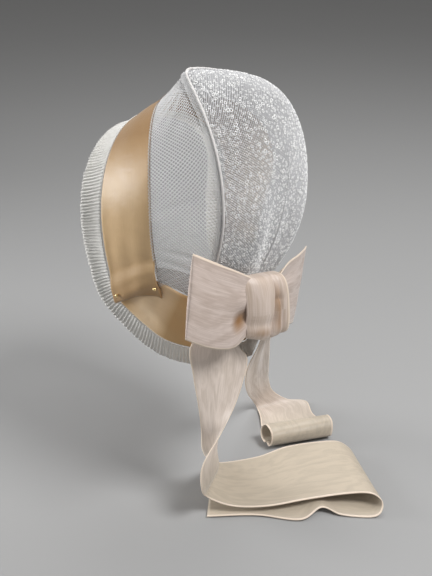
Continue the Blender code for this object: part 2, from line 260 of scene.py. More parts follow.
def clothFinish(name, tone, shade, pitch):
    # plain weave for the piping and the pleated frill
    made = Finish(name, Roughness=0.8, Sheen_Weight=0.25, Sheen_Roughness=0.5)
    spot, across, along = made.clothPlace()
    made.feed("Base Color", made.mix(made.noise(spot, 0.35, 3.0), shade, tone))
    turn = 2 * math.pi / pitch
    weave = (across * turn).sine() * (along * turn).sine()
    made.feed("Normal", made.bump(weave * 0.5 + made.noise(spot, 1.1, 3.0), 0.00018, 0.6))
    return made.material


def ribbonFinish(name, tone, shade, water, shadedHollows=(), shadedCream=None):
    # watered ribbon: fine ribs across its width, pressed into wavering bands
    made = Finish(name, Roughness=0.42, Sheen_Weight=0.2, Sheen_Roughness=0.4, Specular_IOR_Level=0.5)
    spot, across, along = made.clothPlace()
    drift = made.noise(made.stretched(spot, 0.035, 0.012), 1.0, 4.0, 0.6, 0.4)
    grain = made.noise(made.stretched(spot, 0.9, 0.045), 1.0, 3.0, 0.55)
    rings = ((drift * 46.0 + across * 0.11).sine() * 0.5 + 0.5) * water
    pressed = (rings * (grain * 1.5 - 0.15).within(0.0, 1.0)).within(0.0, 1.0)
    lines = made.noise(made.stretched(spot, 1.3, 0.010), 1.0, 2.0, 0.7)
    colour = made.mix(pressed, tone, shade)
    colour = made.mix(((lines - 0.42) * 3.0).within(0.0, 0.55), colour, shade)
    if shadedCream:
        # the free lower part turns a yellower cream and darker; the darkening is painted shade, less light
        # reaching it near the floor
        yellowerAndShaded = made.mix(pressed * 0.6, shadedCream, [c * 0.72 for c in shadedCream])
        colour = made.mix((along / 60.0 - 1.8).within(0.0, 1.0), colour, yellowerAndShaded)
    for across0, along0, wide, long, share in shadedHollows:
        # painted shade, tinted gold-brown, in the hollows and folds where the ribbon sinks in
        far = ((across - across0) / wide) ** 2 + ((along - along0) / long) ** 2
        colour = made.mix(((1.0 - far).within(0.0, 1.0) ** 1.4) * share, colour, (0.26, 0.125, 0.035))
    # a pale selvedge, with a fine line inside it
    side = ((across - ribbon["width"] / 2) ** 2) ** 0.5
    colour = made.mix(((side - 33.2) * 3.0).within(0.0, 0.35), colour, shade)
    colour = made.mix(((side - 34.2) * 3.0).within(0.0, 0.9), colour, (0.78, 0.66, 0.54))
    made.feed("Base Color", colour)
    made.feed("Roughness", pressed * 0.2 + 0.33)
    ribs = (along * (2 * math.pi / 0.62)).sine() * 0.5 + 0.5
    fine = made.bump(ribs, 0.00009, 0.5)
    made.feed("Normal", made.bump(made.noise(spot, 0.06, 4.0, 0.55), 0.0010, 0.5, fine))
    return made.material


def metalFinish(name):
    made = Finish(name, Metallic=1.0, Roughness=0.22)
    spot = made.objectPlace()
    rub = made.noise(spot, 900.0, 3.0)
    made.feed("Base Color", made.mix(rub, (0.62, 0.42, 0.16), (0.93, 0.78, 0.46)))
    made.feed("Roughness", rub * 0.25 + 0.14)
    return made.material


def stageFinish(name, tone):
    made = Finish(name, Roughness=0.85)
    cloudy = made.noise(made.objectPlace(), 3.0, 2.0)
    made.feed("Base Color", made.mix(cloudy, tone, [c * 0.97 for c in tone]))
    return made.material


# each satin's second colour is the painted shade at the middle and the ends of its length
goldSatin = satinFinish("goldSatin", (0.64, 0.445, 0.235), (0.27, 0.15, 0.052), 400.0)
paleSatin = satinFinish("paleSatin", (0.76, 0.58, 0.38), (0.44, 0.27, 0.11), 112.0)
netCotton = threadFinish("netCotton", (0.74, 0.74, 0.74), (0.60, 0.60, 0.605), 0.1)
# the crown's ground threads are a darker copy of the net cotton: painted shade between the motifs
shadedGroundCotton = threadFinish("shadedGroundCotton", (0.60, 0.60, 0.61), (0.45, 0.45, 0.46), 0.05)
hemCotton = threadFinish("hemCotton", (0.40, 0.35, 0.31), (0.28, 0.24, 0.21), 0.05)
# the edge stitches' dark brown is partly painted shade along the satin band's back edge
shadowStitchSilk = threadFinish("shadowStitchSilk", (0.22, 0.14, 0.08), (0.13, 0.08, 0.045), 0.1)
tuftSilk = threadFinish("tuftSilk", (0.95, 0.95, 0.94), (0.88, 0.88, 0.87), 0.3)
pipingCotton = clothFinish("pipingCotton", (0.74, 0.715, 0.70), (0.62, 0.595, 0.58), 0.5)
frillSilk = clothFinish("frillSilk", (0.70, 0.69, 0.66), (0.57, 0.56, 0.53), 0.45)
ribbonTones = (0.66, 0.555, 0.50), (0.46, 0.365, 0.31)
ribbonFace = ribbonFinish("ribbonFace", *ribbonTones, 1.0)
# the knot's patches are painted shade in its groove and lower fold; the loop's patch is painted shade in its
# dimple beside the knot
knotFace = ribbonFinish("knotFace", (0.68, 0.575, 0.515), (0.48, 0.37, 0.28), 0.8, (
    (10.5, 0.0, 4.5, 19.0, 0.7), (10.5, 120.0, 4.5, 26.0, 0.7), (26.0, 109.0, 12.0, 6.0, 0.5)))
loopFace = ribbonFinish("loopFace", *ribbonTones, 1.0, ((48.0, 137.0, 14.0, 12.0, 0.95),))
ribbonBack = ribbonFinish("ribbonBack", (0.74, 0.66, 0.50), (0.58, 0.49, 0.32), 0.8)
# the tail's free lower part is painted yellower and darker, the darkening as painted shade near the floor
tailFace = ribbonFinish("tailFace", (0.70, 0.61, 0.545), (0.52, 0.44, 0.375), 1.0, shadedCream=(0.50, 0.43, 0.34))
pinBrass = metalFinish("pinBrass")
print("materials made")


# The form of the cap, in millimetres; sizes of flat cloth are in metres
mm = 0.001
capForm = {
    # top back and down, widest half, back and down, end half, back and down, and its square
    "arches": (
        (-45, 38, 76, -21, 100, 66, -19, 168, 2.25),
        (-17, 19, 77, 29, 86, 67, 26, 136, 2.3),
        (3, 0, 51, 72, 83, 43, 48, 152, 2.4),
        (35, -4, 46, 78, 82, 36, 52, 157, 2.3),
        (62, 1, 39, 83, 83, 28, 55, 160, 2.2),
        (81, 22, 31, 87, 87, 20, 58, 162, 2.1),
        (91, 56, 22, 88, 99, 13, 60, 164, 2.0),
        (84, 106, 13, 76, 126, 8, 61, 165, 2.0),
        (62, 154, 2.2, 61.5, 160, 1.3, 61.5, 166, 2.0),
    ),
    "seam": 2, "wideShare": 0.6, "lean": 1.2,
}
lowerForm = {
    # upper half, back and down, then lower half, back and down
    "rows": (
        (70.5, 2, 141, 65, -16, 168.5),
        (64.5, 23, 138, 60.5, 2, 183),
        (56.5, 39.5, 147, 55, 18, 194),
        (43, 48.5, 155, 43, 35, 201),
        (24, 57, 162.5, 25, 48, 205),
        (1, 62.5, 167, 1, 56, 207),
    ),
    "swell": 2.0, "turn": 0.7, "wide": 0.045, "long": 0.112, "thick": 0.9,
}


def bell(x, wide):
    # 1 at nought, dying away to both sides
    return np.exp(-((x / wide) ** 2))


def between(x, places, table):
    # straight steps between the rows of a table that stand at the given places
    return np.stack([np.interp(x, places, table[:, k]) for k in range(table.shape[1])], -1)


def rowsAt(rows, place):
    # a smooth curve through the rows of a table
    table = np.asarray(rows, float)
    last = len(table) - 1
    place = np.clip(np.asarray(place, float), 0, last)
    i = np.minimum(place.astype(int), last - 1)
    f = (place - i)[..., None]
    p1, p2 = table[i], table[i + 1]
    p0 = np.where((i > 0)[..., None], table[np.maximum(i - 1, 0)], 2 * p1 - p2)
    p3 = np.where((i + 2 <= last)[..., None], table[np.minimum(i + 2, last)], 2 * p2 - p1)
    return 0.5 * (2 * p1 + (p2 - p0) * f + (2 * p0 - 5 * p1 + 4 * p2 - p3) * f**2
                  + (3 * p1 - p0 - 3 * p2 + p3) * f**3)


def formPoint(place, t):
    # t runs from -1 at the right lower end over the top to 1 at the left lower end
    place, t = np.broadcast_arrays(np.asarray(place, float), np.asarray(t, float))
    row = rowsAt(capForm["arches"], place) * (1, -1, 1, 1, -1, 1, 1, -1, 1)
    topY, topZ, wideX, wideY, wideZ, endX, endY, endZ, square = np.moveaxis(row, -1, 0)
    share, side = np.abs(t), np.where(t >= 0, 1.0, -1.0)
    turn = np.minimum(share / capForm["wideShare"], 1) * math.pi / 2
    s, c = np.sin(turn), np.maximum(np.cos(turn), 0)
    x1 = wideX * s ** (2 / square)
    z1 = wideZ + (topZ - wideZ) * c ** (2 / square)
    y1 = topY + (wideY - topY) * s ** capForm["lean"]
    f = np.clip((share - capForm["wideShare"]) / (1 - capForm["wideShare"]), 0, None)
    hang = 1.6 + np.where(side < 0, 0.15, -0.4) * np.clip(place - capForm["seam"], 0, 1)
    low = share > capForm["wideShare"]
    x = np.where(low, wideX + (endX - wideX) * f**1.8, x1)
    z = np.where(low, wideZ + (endZ - wideZ) * f, z1)
    y = np.where(low, wideY + (endY - wideY) * f**hang, y1)
    return np.stack([side * x, y, z], -1) * mm


def unit(v):
    return v / np.maximum(np.linalg.norm(v, axis=-1, keepdims=True), 1e-12)


def formNormal(place, t):
    place, t = np.broadcast_arrays(np.asarray(place, float), np.asarray(t, float))
    step, last = 0.01, len(capForm["arches"]) - 1
    across = formPoint(np.minimum(place + step, last), t) - formPoint(np.maximum(place - step, 0), t)
    along = formPoint(place, t + step) - formPoint(place, t - step)
    n = unit(np.cross(along, across))
    out = ((formPoint(place, t) - np.array((0, 31.5, -93)) * mm) * n).sum(-1, keepdims=True)
    return np.where(out > 0, n, -n)


def lifted(place, t, off):
    return formPoint(place, t) + np.asarray(off)[..., None] * formNormal(place, t)


def lowerPoint(place, down, side):
    row = rowsAt(lowerForm["rows"], place) * (1, 1, -1, 1, 1, -1)
    p = row[..., :3] + (row[..., 3:] - row[..., :3]) * down[..., None]
    out = unit(np.stack([p[..., 0], p[..., 1] - 10.5, 0 * p[..., 0]], -1))
    swell = lowerForm["swell"] * np.minimum(place / 2, 1) * np.sin(math.pi * down)
    turned = lowerForm["turn"] * bell(place - 1.1, 0.7) * (1 - down)
    return (p + out * (swell + turned)[..., None]) * (side, 1, 1) * mm


def lineLength(points):
    return np.concatenate(([0], np.cumsum(np.linalg.norm(np.diff(points, axis=0), axis=1))))


# Camera at the photograph's angle, lights and floor
view = {"target": (-12.9, 17.1, -177.0), "azimuth": 127.0, "height": 26.5, "away": 700.0,
        "lens": 53.125, "film": 36.0}
cameraRight = np.array((-0.602, 0.799, 0.0))
floorDown = 328.6


def viewBack():
    # the way from the target to the camera
    a, e = math.radians(view["azimuth"]), math.radians(view["height"])
    return np.array((math.sin(a) * math.cos(e), -math.cos(a) * math.cos(e), math.sin(e)))


def aim(thing, way):
    thing.rotation_mode = "QUATERNION"
    thing.rotation_quaternion = way.to_track_quat("-Z", "Y")


def setStage():
    back = Vector(viewBack())
    target = Vector(view["target"]) * mm
    bpy.ops.object.camera_add(location=target + back * view["away"] * mm)
    camera = bpy.context.object
    camera.name = "photoCamera"
    aim(camera, -back)
    camera.data.lens = view["lens"]
    camera.data.sensor_width = view["film"]
    camera.data.clip_start = 0.01
    bpy.context.scene.camera = camera
    lamps = (
        # name, out to the camera's right, towards the camera, up, size, power, and how wide
        # it throws its light in degrees: the low one is kept off the floor
        ("keyLight", 0.75, 0.45, 1.15, 0.5, 19.0, 180),
        ("sideLight", -1.2, -0.25, 0.19, 0.6, 2.6, 70),
        ("fillLight", -0.6, 1.3, 0.5, 1.2, 3.0, 180),
        ("topLight", 0.1, -0.55, 1.2, 0.7, 6.0, 180),
    )
    flat = Vector((back.x, back.y, 0)).normalized()
    for name, side, near, up, size, power, spread in lamps:
        spot = target + Vector(cameraRight) * side + flat * near + Vector((0, 0, up))
        bpy.ops.object.light_add(type="AREA", location=spot)
        lamp = bpy.context.object
        lamp.name = name
        lamp.data.size, lamp.data.energy, lamp.data.spread = size, power, math.radians(spread)
        aim(lamp, target - spot)
    clearPick()
    bpy.ops.mesh.primitive_plane_add(size=9, location=(0, 0, -floorDown * mm))
    floor = bpy.context.object
    floor.name = "paleFloor"
    floor.data.materials.append(stageFinish("floorPaper", (0.33, 0.33, 0.33)))
    sky = bpy.data.worlds.new("softRoom")
    bpy.context.scene.world = sky
    sky.use_nodes = True
    glow = sky.node_tree.nodes["Background"].inputs
    glow["Color"].default_value, glow["Strength"].default_value = (0.82, 0.81, 0.80, 1), 0.34
    bpy.context.scene.view_settings.view_transform = "Standard"


setStage()
print("camera, lights and floor set")


# Pleated frill round the face and nape
frill = {
    "pleats": 236, "steps": 6, "depth": 0.72, "slant": 5.0, "thick": 0.35, "seat": 0.5,
    "cloth": (0.018, 0.9), "wide": 0.0185, "gather": 1.5,
    # along the half, then how far the frill reaches out, back and down
    "reach": ((0, 0, -15, 9), (0.25, 2, -18, 3), (0.45, 1, -20, -1), (0.6, 2, -16, 7),
              (0.7, 3, -8, 12), (0.85, 4, 0, 13), (1, 0, 6, 12)),
    "scallop": 0.55,
}


def frillLine():
    # the frill's inner edge on the left half, from the top down to the nape
    lower = lowerPoint(np.linspace(0, len(lowerForm["rows"]) - 1, 150), np.ones(150), 1)
    points = np.concatenate([formPoint(0, np.linspace(0, 1, 200)), lower[1:]])
    return points, lineLength(points)


def makeFrill():
    points, run = frillLine()
    table = np.array(frill["reach"], float)
    chance = np.random.default_rng(11)
    uneven = chance.uniform(-1, 1, (3, frill["pleats"] + 2))

    def lay(v, w):
        # v runs once round, so the left half goes up and the right half comes down
        share = 1 - np.abs(2 * v - 1)
        side = np.where(v <= 0.5, 1.0, -1.0)
        want = share * run[-1]
        line = between(want, run, points)
        step = unit(between(want + 0.016, run, points) - between(want - 0.016, run, points))
        out = between(share, table[:, 0], table[:, 1:]) * (1, 1, -1) * mm
        outWay = unit(out)
        n = unit(np.cross(step, outWay))
        half = frill["pleats"] // 2
        turn = share * half
        i = np.minimum(turn.astype(int), half - 1) + np.where(side < 0, half, 0)
        wander, deeper = uneven[:2, i] + (uneven[:2, i + 1] - uneven[:2, i]) * (turn % 1)
        swing = np.sin(2 * math.pi * (turn + 0.10 * wander * w))
        wave = np.sign(swing) * np.abs(swing) ** 0.8
        size = frill["depth"] * mm * (1 + 0.22 * deeper) * (0.42 + 0.68 * w)
        scallop = frill["scallop"] * mm / frill["cloth"][0] * 0.5 * (1 - wave) * w**6
        rise = np.minimum(w, 1) * (1 + 0.02 * uneven[2][i] * w - scallop)
        bend = 0.0011 * np.sin(math.pi * w)
        # its free edge rounds the corner where the arch meets the lower band
        rounded = sum(between(want + k * 0.009, run, points) for k in range(-2, 3)) / 5
        line = line + (rounded - line) * (w * bell(share - 0.62, 0.12))[:, None]
        lean = frill["slant"] * mm * w * np.sin(math.pi * share) ** 0.7
        p = line + outWay * frill["seat"] * mm + out * rise[:, None] + step * lean[:, None]
        p = p + n * (wave * size + bend)[:, None]
        p[:, 0] *= side
        return p

    piece = gridPiece("pleatedFrill", frill["pleats"] * frill["steps"], 9, lay, frill["cloth"])
    weld(piece)
    giveThickness(piece, frill["thick"] * mm)
    finishPiece(piece, [frillSilk], ["face_frill"])
    print("frill pleated")


# Gold satin band over the head, its ends turned under and pinned
satin = {
    "thick": 0.8, "lift": 3.5, "roll": 0.4, "fold": 2.2, "hem": 1.0, "tuck": 7.0,
    "cloth": 0.046, "stitchGap": 0.0017, "stitchLine": 1.022,
    # how far across the band and down the form each pin sits, and how proud in millimetres
    "pins": {"Front": (0.16, 0.958, -0.4), "Back": (0.94, 1.012, 0.0)}, "pinRadius": 1.4, "pinClear": 1.1,
}


def satinEnd(f):
    # the band's lower end is cut slantwise
    return 0.992 + 0.118 * f - 0.03 * np.sin(math.pi * f)


def satinPlace(f):
    return 0.008 + 0.97 * f


def satinOff(f, share):
    rise = np.clip((share - 0.84) / 0.09, 0, 1)
    rise = rise * rise * (3 - 2 * rise)
    fold = bell(share - 0.985, 0.035) * np.sin(math.pi * (0.1 + 0.8 * f))
    return (satin["lift"] * rise * (1 + 0.3 * f) + satin["fold"] * fold) * mm


def satinPoint(f, share, side):
    off = satinOff(f, share) - satin["roll"] * mm * np.cos(2 * math.pi * f)
    # soft lengthwise draws where the band is pulled over the side of the head
    draw = 0.00035 * np.sin(f * 15 + share * 4) * np.clip((share - 0.45) / 0.3, 0, 1)
    return lifted(satinPlace(f), side * share, off + draw)


def makeSatin():
    hem, tuck = satin["hem"] * mm, satin["tuck"] * mm
    half = float(lineLength(formPoint(0.5, np.linspace(0, 1.05, 200)))[-1])
    arc = math.pi * hem
    total = half + arc + tuck

    def lay(v, f):
        side = np.where(v >= 0.5, 1.0, -1.0)
        far = np.abs(2 * v - 1) * total
        share = np.minimum(far / half, 1) * satinEnd(f)
        p = satinPoint(f, share, side)
        before = satinPoint(f, share - 0.01, side)
        way = unit(p - before)
        n = formNormal(satinPlace(f), side * share)
        n = unit(n - way * (n * way).sum(-1, keepdims=True))
        past = np.maximum(far - half, 0)
        a = np.minimum(past / hem, math.pi)
        under = np.maximum(past - arc, 0)
        back, sunk = hem * np.sin(a) - under, hem * (1 - np.cos(a)) + under * 0.02
        return p + way * back[:, None] - n * sunk[:, None]

    piece = gridPiece("satinBand", 260, 26, lay, (satin["cloth"], 2 * total))
    giveThickness(piece, satin["thick"] * mm)
    finishPiece(piece, [goldSatin], ["satin_band"])
    wide = float(np.linalg.norm(formPoint(0, 0.5) - formPoint(1, 0.5)))
    round(2 * total, 3)
    radius = satin["pinRadius"] * mm
    for hand, side in (("left", 1), ("right", -1)):
        for where, (f, share, settle) in satin["pins"].items():
            off = satinOff(f, share) + radius + (satin["pinClear"] + settle) * mm
            makePin(hand + "Pin" + where, lifted(f, side * share, off), formNormal(f, side * share), radius,
                    "pin_" + hand + "_" + where.lower())
    # a row of small stitches holds the back edge to the net; their dark brown is partly painted shade, the
    # shadow line under the band's edge
    share = np.linspace(0.0, 0.93, int(half / satin["stitchGap"]))
    share = np.concatenate([share, -share[1:]])
    place = satinPlace(satin["stitchLine"])
    centre, n = lifted(place, share, 0.0005), formNormal(place, share)
    way = unit(formPoint(place, share + 0.01) - centre)
    stitches = scatter("edgeStitches", *stitchShape(), centre,
                       way * 0.00062, np.cross(n, way) * 0.00036, n * 0.00042)
    finishPiece(stitches, [shadowStitchSilk])
    print("satin band laid and pinned")


def stitchShape():
    clearPick()
    bpy.ops.mesh.primitive_ico_sphere_add(subdivisions=1, radius=1.0)
    return takeShape()


def takeShape():
    # the points and triangles of the piece that was just made, to set down many times
    shape = bpy.context.object
    points, faces = readPoints(shape), cornerVerts(shape).reshape(-1, 3)
    bpy.data.objects.remove(shape)
    return points, faces


def scatter(name, points, faces, base, one, two, out):
    # one closed shape set down at every base, along its own three directions
    turned = sum(k[:, None] * way[:, None] for k, way in zip(points.T, (one, two, out)))
    everyPoint = base[:, None] + turned
    everyFace = faces[None] + (np.arange(len(base)) * len(points))[:, None, None]
    mesh = bpy.data.meshes.new(name)
    mesh.from_pydata(everyPoint.reshape(-1, 3).tolist(), [], everyFace.reshape(-1, 3).tolist())
    piece = bpy.data.objects.new(name, mesh)
    bpy.context.scene.collection.objects.link(piece)
    smooth(piece)
    return piece


def makePin(name, centre, n, radius, node):
    # a round head that narrows to a small collar where the shank goes in
    clearPick()
    bpy.ops.mesh.primitive_uv_sphere_add(segments=20, ring_count=12, radius=radius)
    piece = named(name)
    points = readPoints(piece)
    low = np.clip(-points[:, 2] / radius - 0.35, 0, 1)
    points[:, :2] *= (1 - 0.75 * low**0.8)[:, None]
    points[:, 2] -= low * radius * 0.45
    turn = np.array(Vector(n).to_track_quat("Z", "Y").to_matrix())
    writePoints(piece, points @ turn.T + centre)
    smooth(piece)
    finishPiece(piece, [pinBrass], [node])


# Lower satin bands from the frill back to the nape
def makeLowerBands():
    last = len(lowerForm["rows"]) - 1
    for hand, side in (("Left", 1), ("Right", -1)):
        def lay(v, u):
            place = v * (last - 0.02)
            down = 0.012 + 0.973 * u
            p = lowerPoint(place, down, side)
            # the two bands meet at the centre of the nape
            end = lowerPoint(0 * place + last - 0.02, down, side)[:, 0]
            p[:, 0] -= (end - side * 0.0001) * np.clip((v - 0.88) / 0.12, 0, 1) ** 2
            out = unit(np.stack([p[:, 0], p[:, 1] - 0.0105, 0 * p[:, 0]], -1))
            # a turned edge along the top, and slack drawn slantwise under the arch band
            edge = 0.0008 * bell(u, 0.10) - 0.0005 * bell(u - 0.16, 0.05)
            slack = 0.0012 * np.sin(u * 9 - place * 2.6) * bell(place - 1.6, 1.3) * np.sin(math.pi * u)
            slack = slack + 0.0026 * bell(place - 0.75, 0.5) * bell(u - 0.55, 0.25)
            return p + out * (edge + slack)[:, None]

        size = lowerForm["wide"], lowerForm["long"]
        piece = gridPiece("lowerBand" + hand, 110, 26, lay, size)
        giveThickness(piece, lowerForm["thick"] * mm)
        finishPiece(piece, [paleSatin], ["lower_band_" + hand.lower()])
    print("lower bands laid")


# Nets: threads on a square mesh cut on the cross, laid on the form
net = {"cell": 2.0, "thread": 0.80,
       "turned": 0.915, "turnedCell": 1.3, "turnedThread": 0.53, "turnedLong": 0.045, "under": 1.1}


def latticePiece(name, bounds, cell, thread, keep, lay):
    # a flat sheet of squares is turned on the cross, cut to the outline and laid
    halfX, lowY, highY = bounds
    reach = math.hypot(halfX, (highY - lowY) / 2)
    count = int(math.ceil(2 * reach / (cell * mm)))
    clearPick()
    bpy.ops.mesh.primitive_grid_add(x_subdivisions=count, y_subdivisions=count, size=count * (cell * mm))
    piece = named(name)
    x, y = readPoints(piece)[:, :2].T
    c = math.sqrt(0.5)
    x, y = (x - y) * c, (x + y) * c + (lowY + highY) / 2
    writePoints(piece, np.stack([x, y, 0 * x], 1))
    outside = ~keep(x, y)[cornerVerts(piece).reshape(-1, 4)].all(1)
    pick(piece)
    setMode("EDIT")
    bpy.ops.mesh.select_mode(type="FACE")
    bpy.ops.mesh.select_all(action="DESELECT")
    setMode("OBJECT")
    piece.data.polygons.foreach_set("select", outside)
    setMode("EDIT")
    bpy.ops.mesh.delete(type="FACE")
    setMode("OBJECT")
    x, y = readPoints(piece)[:, :2].T
    writePoints(piece, lay(x, y))
    applyModifier(piece, "WIREFRAME", thickness=thread * mm, use_even_offset=False, use_boundary=True,
                  use_replace=True, offset=0.0)
    return piece


def netOff(place, t):
    # creases: one across the side, two by the turned end, and a fan from the peak
    crease = 0.0
    for centre, slope, deep in ((0.55, -0.06, 1.0), (0.8, 0.04, 0.6), (0.88, 0.06, 0.7)):
        crease = crease - deep * bell(np.abs(t) - centre - slope * (place - 1.5), 0.012)
    away = (2.05 - place) / np.maximum(np.abs(t), 0.02)
    fan = 0.45 * np.sin(np.clip(away, 0, 12) * 5.2) * bell(np.abs(t) - 0.28, 0.16)
    return (0.0014 * crease + 0.0009 * fan) * np.sin(math.pi * np.clip(place - 1, 0, 1))


def makeNetBand():
    ts = np.linspace(-1.06, 1.06, 801)
    run = lineLength(formPoint(1.45, ts))
    run -= run[len(run) // 2]
    width = np.linalg.norm(formPoint(2, ts) - formPoint(1, ts), axis=1)
    half, wide = float(run[-1]), float(width.max())
    ends = float(np.interp(net["turned"], ts, run))

    def spot(x, y):
        t = np.interp(x, run, ts)
        return 1 + y / np.interp(t, ts, width), t

    def keep(x, y):
        place, t = spot(x, y)
        return (place > 0.93) & (place < 2.03) & (np.abs(x) < half * 0.995)

    def lay(x, y, under=0.0):
        place, t = spot(x, y)
        return lifted(place, t, netOff(place, t) - under)

    def keepTurned(x, y):
        return keep(x, y) & (np.abs(x) > ends)

    def layTurned(x, y):
        return lay(x, y, net["under"] * mm)

    bounds = half, -0.004, wide + 0.003
    piece = latticePiece("netBand", bounds, net["cell"], net["thread"], keep, lay)
    finishPiece(piece, [netCotton], ["net_band"])
    turned = latticePiece("netTurned", bounds, net["turnedCell"], net["turnedThread"], keepTurned, layTurned)
    finishPiece(turned, [hemCotton])
    print("net band laid:", len(piece.data.polygons), "faces")


# The crown panel: its flat place is how far down the centre back and how far across
class CrownMap:
    def __init__(self):
        hinge = np.array((-20.0, -85.0)) * mm
        places = np.linspace(1.9, 8, 245)
        ts = np.linspace(0, 1, 301)
        self.rows = {}
        for side in (1, -1):
            grid = formPoint(places[:, None], side * ts[None, :])
            angle = np.arctan2(grid[..., 1] - hinge[0], grid[..., 2] - hinge[1])
            middle = angle[:, 0]
            self.angles = np.linspace(middle[0] + 0.02, middle[-1] - 0.004, 181)
            table = []
            for a in self.angles:
                t = np.array([np.interp(a, angle[i], ts, left=-1, right=-1) for i in range(len(places))])
                reach = t >= 0
                p, q = places[reach], t[reach]
                top = np.interp(a, middle, places)
                p, q = np.append(p, top)[::-1], np.append(q, 0.0)[::-1]
                line = formPoint(p, side * q)
                far = lineLength(line)
                want = np.linspace(0, 1, 61) * far[-1]
                table.append((far[-1], np.interp(want, far, p), np.interp(want, far, q)))
            self.rows[side] = [np.array(x) for x in zip(*table)]
        centre = formPoint(np.interp(self.angles, middle, places), 0)
        self.down = lineLength(centre)

    def spot(self, x, y):
        # the arch place and t of a flat spot, and how far out it is as a share of the width
        row = np.interp(y, self.down, np.arange(len(self.down)))
        i = np.minimum(row.astype(int), len(self.down) - 2)
        f = row - i
        place, t, share = np.zeros_like(x), np.zeros_like(x), np.zeros_like(x)
        for side in (1, -1):
            far, p, q = self.rows[side]
            mine = (x >= 0) if side > 0 else (x < 0)
            ii, ff, xx = i[mine], f[mine], np.abs(x[mine])
            reach = far[ii] * (1 - ff) + far[ii + 1] * ff
            s = xx / np.maximum(reach, 1e-6)
            col = np.clip(s, 0, 1) * 60
            j = np.minimum(col.astype(int), 59)
            g = col - j

            def at(table):
                a = table[ii, j] * (1 - g) + table[ii, j + 1] * g
                b = table[ii + 1, j] * (1 - g) + table[ii + 1, j + 1] * g
                return a * (1 - ff) + b * ff
            place[mine], t[mine], share[mine] = at(p), side * at(q), s
        return place, t, share

    def laid(self, x, y):
        # the springy net rounds over the ridges of the form
        share = np.maximum(self.spot(x, y)[2], 0.02)
        step = 0.0042 * np.clip((np.abs(x) / share - np.abs(x)) / 0.012, 0, 1)
        total = 0
        for k, weight in ((-2, 0.14), (-1, 0.23), (0, 0.26), (1, 0.23), (2, 0.14)):
            place, t, past = self.spot(x + k * step, y)
            total = total + weight * lifted(place, t, crownOff(place, t))
        return total


crown = {"gathers": 11, "gatherDepth": 1.8, "cell": 1.45, "thread": 1.12, "motifGap": 3.25, "rowGap": 0.82,
         "motif": 0.86, "boldAcross": 0.0115, "boldDown": 0.0125, "loose": 16}


def crownOff(place, t):
    away = np.maximum(place - 2, 0)
    fade = np.exp(-away / 0.9) * np.clip(1 - np.abs(t) / 0.55, 0, 1) * away / (away + 0.15)
    return crown["gatherDepth"] * mm * fade * np.cos(2 * math.pi * t * crown["gathers"])


def makeCrown():
    chart = CrownMap()
    height = float(chart.down[-1])
    reach = np.array([chart.rows[side][0] for side in (1, -1)])
    widest = float(reach.max())

    def keep(x, y):
        place, t, share = chart.spot(x, y)
        return (share <= 1.0) & (y > 0) & (y < height) & (np.abs(t) < 0.992) & (place > 1.93)

    piece = latticePiece("crownNet", (widest, 0.0, height), crown["cell"], crown["thread"], keep, chart.laid)
    finishPiece(piece, [shadedGroundCotton], ["crown_panel"])
    print("crown net laid:", len(piece.data.polygons), "faces")
    makeMotifs(chart, height, widest)
    # a few loose thread ends at the peak
    chance, count = np.random.default_rng(3), crown["loose"]
    base = lifted(chance.uniform(1.99, 2.05, count), chance.uniform(-0.05, 0.05, count), 0.0018)
    way = unit(chance.normal(0, 1, (count, 3)) + np.array((0, 0.4, 1.2)))
    side = unit(np.cross(way, np.array((0.3, 1.0, 0.2)))) * 0.00032
    threads = scatter("peakThreads", *stitchShape(), base, way * 0.0017, side, np.cross(way, side))
    finishPiece(threads, [tuftSilk])


def motifShape():
    # one worked motif: two looped pairs of stitches
    clearPick()
    parts = []
    for x, y, turn, long in ((-0.75, 0.45, 38, 1.0), (0.8, 0.5, -42, 0.95), (-0.6, -0.55, -32, 0.8),
                             (0.7, -0.5, 30, 0.85)):
        bpy.ops.mesh.primitive_ico_sphere_add(subdivisions=1, radius=0.5)
        part = bpy.context.object
        points = readPoints(part) * (2.0 * long, 0.62, 0.6)
        a = math.radians(turn)
        right = points[:, 0] * math.cos(a) - points[:, 1] * math.sin(a) + x
        up = points[:, 0] * math.sin(a) + points[:, 1] * math.cos(a) + y
        writePoints(part, np.stack([right, up, points[:, 2]], 1))
        parts.append(part)
    for part in parts:
        part.select_set(True)
    bpy.context.view_layer.objects.active = parts[0]
    bpy.ops.object.join()
    return takeShape()


